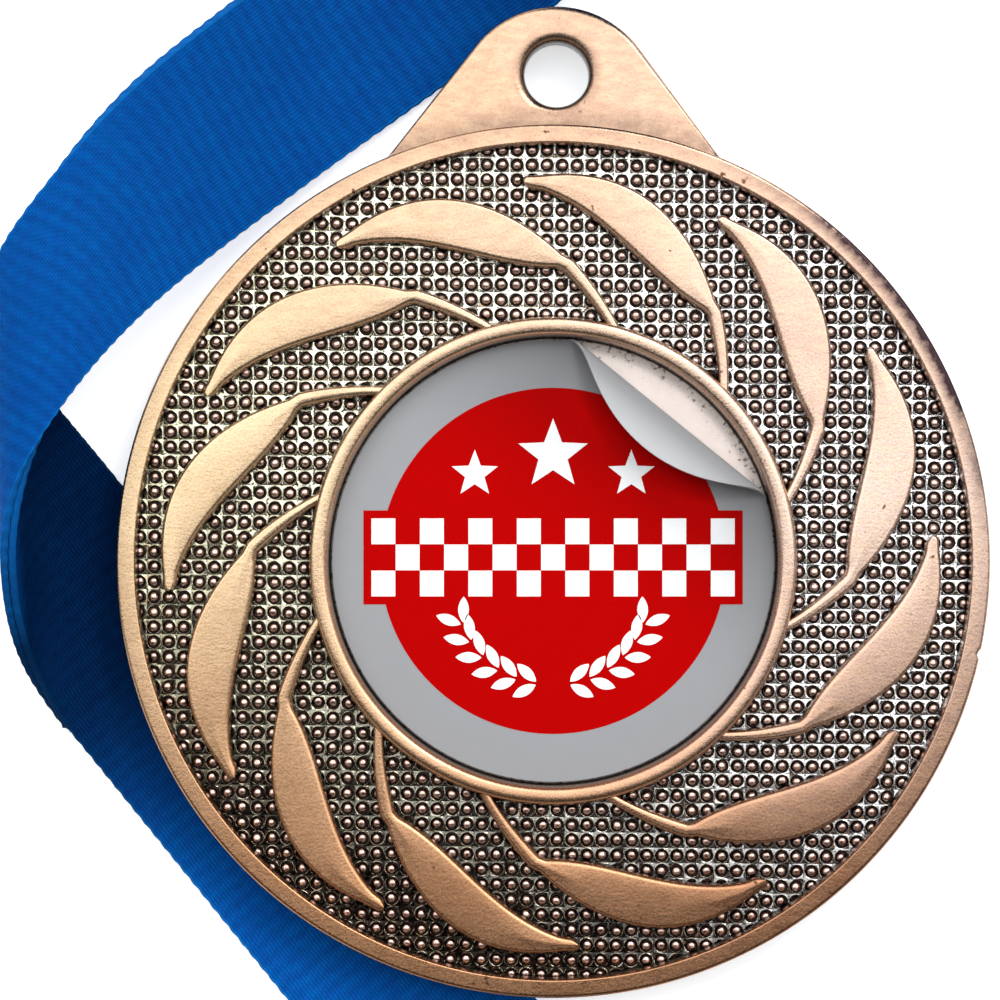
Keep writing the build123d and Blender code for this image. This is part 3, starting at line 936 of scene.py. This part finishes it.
def rounded_tip(first, second):
    """Pairs of points that close the blunt tip with a half circle."""
    middle = (first[0] + second[0]) / 2
    half = (second[0] - first[0]) / 2
    forward = unit(middle - (first[3] + second[3]) / 2) * np.linalg.norm(half)
    angles = np.radians((6, 22, 42, 64))[:, None]
    ahead = middle + forward * np.cos(angles)
    return (np.vstack([ahead - half * np.sin(angles), first]),
            np.vstack([ahead + half * np.sin(angles), second]))


def blade_points(tip_angle):
    """Closed sections across a blade: flat underside, sloped walls, soft shoulders and a low crown."""
    first, second = rounded_tip(*widened(*blade_edges(tip_angle)))
    half = np.linalg.norm(second - first, axis=1) / 2
    across = unit(second - first)
    top = BLADE_HEIGHT
    crisp = ((-0.14, MOAT_HEIGHT), (-0.08, MOAT_HEIGHT + 0.5), (-0.02, top - 0.24), (0.02, top - 0.11),
             (0.08, top - 0.03), (0.15, top - 0.003), (0.21, top), (0.8, top + 0.005))
    sloped = ((-0.14, MOAT_HEIGHT), (-0.07, MOAT_HEIGHT + 0.5), (-0.01, top - 0.25), (0.04, top - 0.12),
              (0.11, top - 0.045), (0.22, top - 0.008), (0.3, top), (0.8, top + 0.005))
    sides = []
    for shape, edge, inward in ((crisp, first, across), (sloped, second, -across)):
        for number, (inset, height) in enumerate(shape):
            reach = np.minimum(inset, half * number / len(shape))
            sides.append(np.column_stack([edge + inward * reach[:, None], np.full(len(first), height)]))
    middle = np.column_stack([(first + second) / 2, top + 0.005 + 0.01 * np.minimum(half, 1)])
    over = sides[:len(crisp)] + [middle] + sides[:len(crisp) - 1:-1]
    under = [side * (1, 1, 0) + (0, 0, MOAT_HEIGHT - 0.1) for side in (over[-1], over[0])]
    return np.stack(over + under, axis=1)


def blades(material):
    """All the blades as one group of closed solids."""
    points, faces = [], []
    for tip_angle in TIP_ANGLES:
        sections = blade_points(tip_angle)
        faces += capped_tube(*sections.shape[:2], first=len(points))
        points.extend(sections.reshape(-1, 3).tolist())
    make_piece("medal_blades", points, faces, "medal", "antique_bronze", material)


# ======== bead field

def bead_tile():
    """One square cell: dome, groove, worn ridge and web. Points, faces and a material slot per face."""
    web, groove, dome, ridge = 0, 1, 2, 3
    rings = ((0.10, 0.172, dome), (0.17, 0.148, dome), (0.222, 0.095, dome), (0.255, 0.0, dome),
             (0.278, -0.13, groove), (0.315, -0.2, groove), (0.352, -0.15, groove), (0.380, -0.03, groove),
             (0.394, 0.02, ridge), (0.407, 0.025, ridge), (0.42, 0.0, ridge))
    angles = round_angles(BEAD_SEGMENTS)
    half = BEAD_PITCH / 2
    border = half / np.maximum(abs(np.cos(angles)), abs(np.sin(angles)))
    points = [[(0, 0, 0.18)]] + [circle_points(radius, angles, height) for radius, height, _ in rings]
    points.append(circle_points(border, angles, 0))
    points[-1][:, 2] = CORNER_DROP * (half - border) / half
    faces = [(0, 1 + k, 1 + (k + 1) % BEAD_SEGMENTS) for k in range(BEAD_SEGMENTS)]
    faces += grid_faces(len(rings) + 1, BEAD_SEGMENTS, wrap_columns=True, first=1, flip=True)
    kinds = [dome] * BEAD_SEGMENTS
    for kind in [kind for _, _, kind in rings[1:]] + [web]:
        kinds += [kind] * BEAD_SEGMENTS
    return np.vstack(points), faces, kinds


def bead_centres():
    """Centres of the square cells that reach into the sunk field, and the turn of their grid."""
    count = int(RIM_INNER_RADIUS / BEAD_PITCH) + 2
    steps = np.arange(-count, count + 1) * BEAD_PITCH
    grid = np.stack(np.meshgrid(steps + BEAD_OFFSET[0], steps + BEAD_OFFSET[1]), axis=-1).reshape(-1, 2)
    turn = np.array(((cos(BEAD_TURN), sin(BEAD_TURN)), (-sin(BEAD_TURN), cos(BEAD_TURN))))
    grid = grid @ turn
    radius = np.linalg.norm(grid, axis=1)
    corner = BEAD_PITCH * sqrt(0.5)
    return grid[(radius > RING_OUTER_RADIUS - corner) & (radius < RIM_INNER_RADIUS + corner)], turn


def inside(points, outline):
    """Which points lie inside a closed outline, by the even-odd rule."""
    x, y = points.T
    found = np.zeros(len(points), dtype=bool)
    for (x0, y0), (x1, y1) in zip(outline, np.roll(outline, -1, axis=0)):
        if y0 != y1:
            found ^= ((y0 > y) != (y1 > y)) & (x < x0 + (x1 - x0) * (y - y0) / (y1 - y0))
    return found


def under_blades(centres):
    """Which cells lie wholly under a blade."""
    half = BEAD_PITCH / 2
    corners = [(half, half), (half, -half), (-half, -half), (-half, half)]
    hidden = np.zeros(len(centres), dtype=bool)
    for tip_angle in TIP_ANGLES:
        first, second = blade_edges(tip_angle)
        outline = np.vstack([first, second[::-1]])
        hidden |= np.all([inside(centres + corner, outline) for corner in corners], axis=0)
    return hidden


def bead_field():
    """The bead cells that show, some partly under a blade. The field ends close to the rim and the ring."""
    tile, tile_faces, tile_kinds = bead_tile()
    centres, turn = bead_centres()
    count = len(centres)
    rng = np.random.default_rng(7)
    swell = rng.normal(1, 0.09, count)
    lean = rng.normal(0, 0.07, (count, 2))
    shift = rng.normal(0, BEAD_JITTER, (count, 2))
    from_crest = RIDGE_RADIUS - np.linalg.norm(tile[:, :2], axis=1)
    loose = np.clip(from_crest / (RIDGE_RADIUS - BEAD_RADIUS), 0, 1)
    domed = tile[:, 2] > 0
    points = np.empty((count, len(tile), 3))
    points[..., :2] = (tile[:, :2] @ turn)[None] + centres[:, None]
    points[..., :2] += shift[:, None] * loose[None, :, None]
    points[..., 2] = FIELD_HEIGHT + tile[None, :, 2] * np.where(domed[None], swell[:, None], 1)
    points[..., 2] += np.einsum("nk,pk->np", lean, tile[:, :2]) * domed
    radius = np.linalg.norm(points[..., :2], axis=2)
    kept_in = np.clip(radius, RING_OUTER_RADIUS + 0.1, RIM_INNER_RADIUS - FIELD_GAP)
    shown = (radius == kept_in).any(axis=1) & ~under_blades(centres)
    points[..., :2] *= (kept_in / radius)[..., None]
    points = points[shown].reshape(-1, 3)
    count = int(shown.sum())
    corners = np.arange(count) * len(tile)
    faces = [tuple(corner + int(start) for corner in face) for start in corners for face in tile_faces]
    materials = (field_web(), field_groove(), field_bead(), field_ridge())
    make_piece("bead_field", points, faces, "medal", "antique_bronze", *materials,
               face_materials=tile_kinds * count)


# ======== label

def curled(rows):
    """How far ahead, how high and how far turned each row of the film lies, along the curl's direction."""
    length = np.linspace(0, 4.5, 900)
    eased = 1 - np.exp(-np.maximum(length - CURL_RADIUS * pi / 2, 0) / FLAP_EASE)
    turn = np.minimum(length / CURL_RADIUS, pi / 2) + FLAP_LEAN * eased
    steps = np.stack([np.cos(turn), np.sin(turn)]) * length[1]
    ahead, height = np.cumsum(steps, axis=1) - steps
    past = np.maximum(rows - CURL_START, 0) * FLAP_STRETCH
    ahead, height, turn = (np.interp(past, length, values) for values in (ahead, height, turn))
    return np.minimum(rows, CURL_START) + ahead, height, turn


def label_film():
    """Film disc with real thickness. Its face carries the print and its back is silver-white."""
    lift = np.arccos(-(CURL_START - 0.1) / LABEL_RADIUS)
    spread = np.concatenate([np.linspace(0.02, lift, 90)[:-1], np.linspace(lift, pi - 0.01, 60)])
    rows = -LABEL_RADIUS * np.cos(spread)
    shares = np.sin(np.linspace(-pi / 2, pi / 2, 61))
    half = LABEL_RADIUS * np.sin(spread)
    ahead, height, turn = curled(rows)
    u, v = heading(CURL_DIRECTION), heading(CURL_DIRECTION + pi / 2)
    up = np.array((0, 0, 1.0))
    level = FILM_BOTTOM + FILM_THICKNESS / 2 + height
    middle = ahead[:, None] * u + level[:, None] * up
    centre = middle[:, None] + (half[:, None] * shares[None, :])[..., None] * v
    normal = np.cos(turn)[:, None] * up - np.sin(turn)[:, None] * u
    top = centre + normal[:, None] * FILM_THICKNESS / 2
    under = centre - normal[:, None] * FILM_THICKNESS / 2
    count, columns = centre.shape[:2]
    points = np.concatenate([top.reshape(-1, 3), under.reshape(-1, 3)])
    face = grid_faces(count, columns, flip=True)
    rest = grid_faces(count, columns, first=count * columns) + edge_faces(count, columns)
    grey = film("film_grey", rgb(150, 150, 152), rgb(154, 154, 156))
    piece = make_piece("label_film", points, face + rest, "label", "printed_film", grey, film_back(),
                       face_materials=[0] * len(face) + [1] * len(rest))
    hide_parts("logo_label")


def edge_faces(rows, columns):
    """Faces that close the border between a grid and its copy one layer on."""
    layer = rows * columns
    border = list(range(columns)) + [r * columns + columns - 1 for r in range(1, rows)]
    border += [(rows - 1) * columns + c for c in range(columns - 2, -1, -1)]
    border += [r * columns for r in range(rows - 2, 0, -1)]
    return [(a, b, b + layer, a + layer) for a, b in zip(border, border[1:] + border[:1])]


def flat_print(name, outlines, height, material):
    """Ink areas: thin flat solids from closed outlines, which run anticlockwise."""
    points, faces = [], []
    for outline in outlines:
        faces += capped_tube(2, len(outline), first=len(points))
        points += [(x, y, level) for level in (height - INK, height) for x, y in outline]
    make_piece(name, points, faces, "label", "printed_film", material, smooth=False)


def circle_outline(radius, count=160):
    return circle_points(radius, round_angles(count), 0)[:, :2]


def star_outline(x, y, radius):
    reaches = (radius, radius * STAR_WAIST) * 5
    return [(x - reach * sin(k * pi / 5), y + reach * cos(k * pi / 5)) for k, reach in enumerate(reaches)]


def leaf_outline(root, angle, length, width):
    """Pointed oval leaf that starts at a point and runs along an angle."""
    along, left = heading(angle)[:2], heading(angle + pi / 2)[:2]
    outline = []
    for share, side in [(k / 12, -1) for k in range(12)] + [(k / 12, 1) for k in range(12, 0, -1)]:
        ahead, out = length * share, side * width / 2 * max(sin(pi * share), 0) ** 0.8
        outline.append(root + ahead * along + out * left)
    return outline


def box_outline(x0, y0, x1, y1):
    return [(x0, y0), (x1, y0), (x1, y1), (x0, y1)]


def chequer():
    """The white squares of a chequered finish band."""
    width = 2 * (BAND_HALF_LENGTH - BAND_BORDER) / CHECK_COLUMNS
    height = (BAND_HIGH - BAND_LOW - 2 * BAND_BORDER) / CHECK_ROWS
    left, low = BAND_BORDER - BAND_HALF_LENGTH, BAND_LOW + BAND_BORDER
    return [box_outline(left + c * width + CHECK_GAP, low + r * height + CHECK_GAP,
                        left + (c + 1) * width - CHECK_GAP, low + (r + 1) * height - CHECK_GAP)
            for c in range(CHECK_COLUMNS) for r in range(CHECK_ROWS) if (c + r) % 2 == 0]


def laurel():
    """Two sprigs of paired leaves that curve up from below towards the band."""
    leaves = []
    for side in (-1, 1):
        for number in range(6):
            angle = radians(-90 + side * (8 + 9.5 * number))
            reach = 7.1 - 0.03 * number ** 2
            for lean in (-0.62, 0.62):
                root = heading(angle)[:2] * (reach - 0.14 * lean * side)
                leaves.append(leaf_outline(root, angle + side * pi / 2 + lean, 1.5, 0.62))
    return leaves


def label_print(film_top):
    """Generic print: red disc, chequered band, stars and laurel. It carries no lettering."""
    red = film("ink_red", rgb(172, 0, 0), rgb(179, 0, 0))
    white = film("ink_white", rgb(238, 238, 238), rgb(252, 252, 252))
    band = box_outline(-BAND_HALF_LENGTH, BAND_LOW, BAND_HALF_LENGTH, BAND_HIGH)
    flat_print("label_red_disc", [circle_outline(PRINT_RADIUS)], film_top + INK, red)
    flat_print("label_red_band", [band], film_top + 2 * INK, red)
    stars = [star_outline(0, 6.1, 2.1), star_outline(-4.5, 5.0, 1.4), star_outline(4.5, 5.0, 1.4)]
    flat_print("label_white", chequer() + stars + laurel(), film_top + 3 * INK, white)


# ======== ring, stitches and tie

def stitches():
    """Rounded thread stitches, each pressed into the top strand at both ends."""
    across, ahead = heading(LOWER_HEADING + pi / 2), heading(LOWER_HEADING)
    points, faces = [], []
    for back, slant in STITCH_ROWS:
        start = np.array((EYE[0], EYE[1], STITCH_LEVEL)) - ahead * (EYE_OFFSET + back)
        for number in range(STITCHES_IN_ROW):
            shift = (number + 1) * RIBBON_WIDTH / (STITCHES_IN_ROW + 1) - RIBBON_WIDTH / 2
            faces += capped_tube(STITCH_SECTIONS, STITCH_SIDES, first=len(points))
            points.extend(stitch_points(start + across * shift, LOWER_HEADING + slant))
    piece = make_piece("seam_thread", points, faces, "ribbon", "seam_thread", thread_blue())
    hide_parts("seam_stitches")


def stitch_points(centre, angle):
    along, side = heading(angle), heading(angle + pi / 2)
    points = []
    for t in np.linspace(-1, 1, STITCH_SECTIONS):
        lift = STITCH_RISE * (1 - t ** 4) - STITCH_SINK
        radius = STITCH_RADIUS * sqrt(max(1 - t ** 6, 0.02))
        for a in round_angles(STITCH_SIDES):
            up = lift + STITCH_FLATNESS * radius * sin(a)
            points.append(centre + along * t * STITCH_REACH + side * radius * cos(a) + (0, 0, up))
    return points


def repaint(node, material):
    """Gives a CAD node that is shown as it is a better material."""
    for slot in frame["nodes"][node].material_slots:
        slot.material = material


# ======== studio

def area_light(name, place, target, size, radiance, colour=(1, 1, 1)):
    lamp = bpy.data.lights.new(name, "AREA")
    lamp.shape = "RECTANGLE"
    lamp.size, lamp.size_y = (edge * MM for edge in size)
    lamp.energy = radiance * pi * lamp.size * lamp.size_y
    lamp.color = colour
    rig = add_object(name, lamp)
    rig.location = Vector(place) * MM
    rig.rotation_euler = (Vector(target) - Vector(place)).to_track_quat("-Z", "Y").to_euler()
    rig.visible_camera = False


def studio():
    """Plain white floor, a wide soft panel overhead on the ear's side, and a small key beside it."""
    half = 3000.0
    corners = [(x * half, y * half, TABLE - 0.02) for x, y in ((-1, -1), (1, -1), (1, 1), (-1, 1))]
    mesh = bpy.data.meshes.new("studio_floor")
    mesh.from_pydata([Vector(corner) * MM for corner in corners], [], [(0, 1, 2, 3)])
    mesh.materials.append(floor_white())
    add_object("studio_floor", mesh)
    area_light("panel", (-20, 307, 400), (-20, 307, 0), (1000, 665), 2.5, (0.96, 1.0, 1.04))
    area_light("key", (170, 260, 420), (0, 0, 0), (120, 120), 16.0, (1.0, 0.99, 0.97))
    sky()
    bpy.context.scene.view_settings.view_transform = "Standard"


def sky():
    """Pale all round the horizon and dark overhead, so that polished metal keeps its contrast."""
    s = Shader("studio", "Background", bpy.data.worlds)
    height = s.axes(s.place("Generated"))[2]
    s.set("Color", (1.0, 0.94, 0.86, 1))
    s.set("Strength", s.between(height, 0.0, 0.75, 1.0, 0.06))
    bpy.context.scene.world = s.material


def main():
    camera()
    ribbon()
    metal = bronze("antique_bronze", FIELD_HEIGHT + 0.25, BLADE_HEIGHT - 0.22)
    casting(metal)
    blades(metal)
    ear(bronze("ear_bronze", EAR_FRONT - 0.4, EAR_FRONT - 0.08))
    bead_field()
    label_film()
    label_print(FILM_BOTTOM + FILM_THICKNESS)
    stitches()
    repaint("d_ring", nickel())
    repaint("roll_tie", tie_plastic())
    studio()


main()
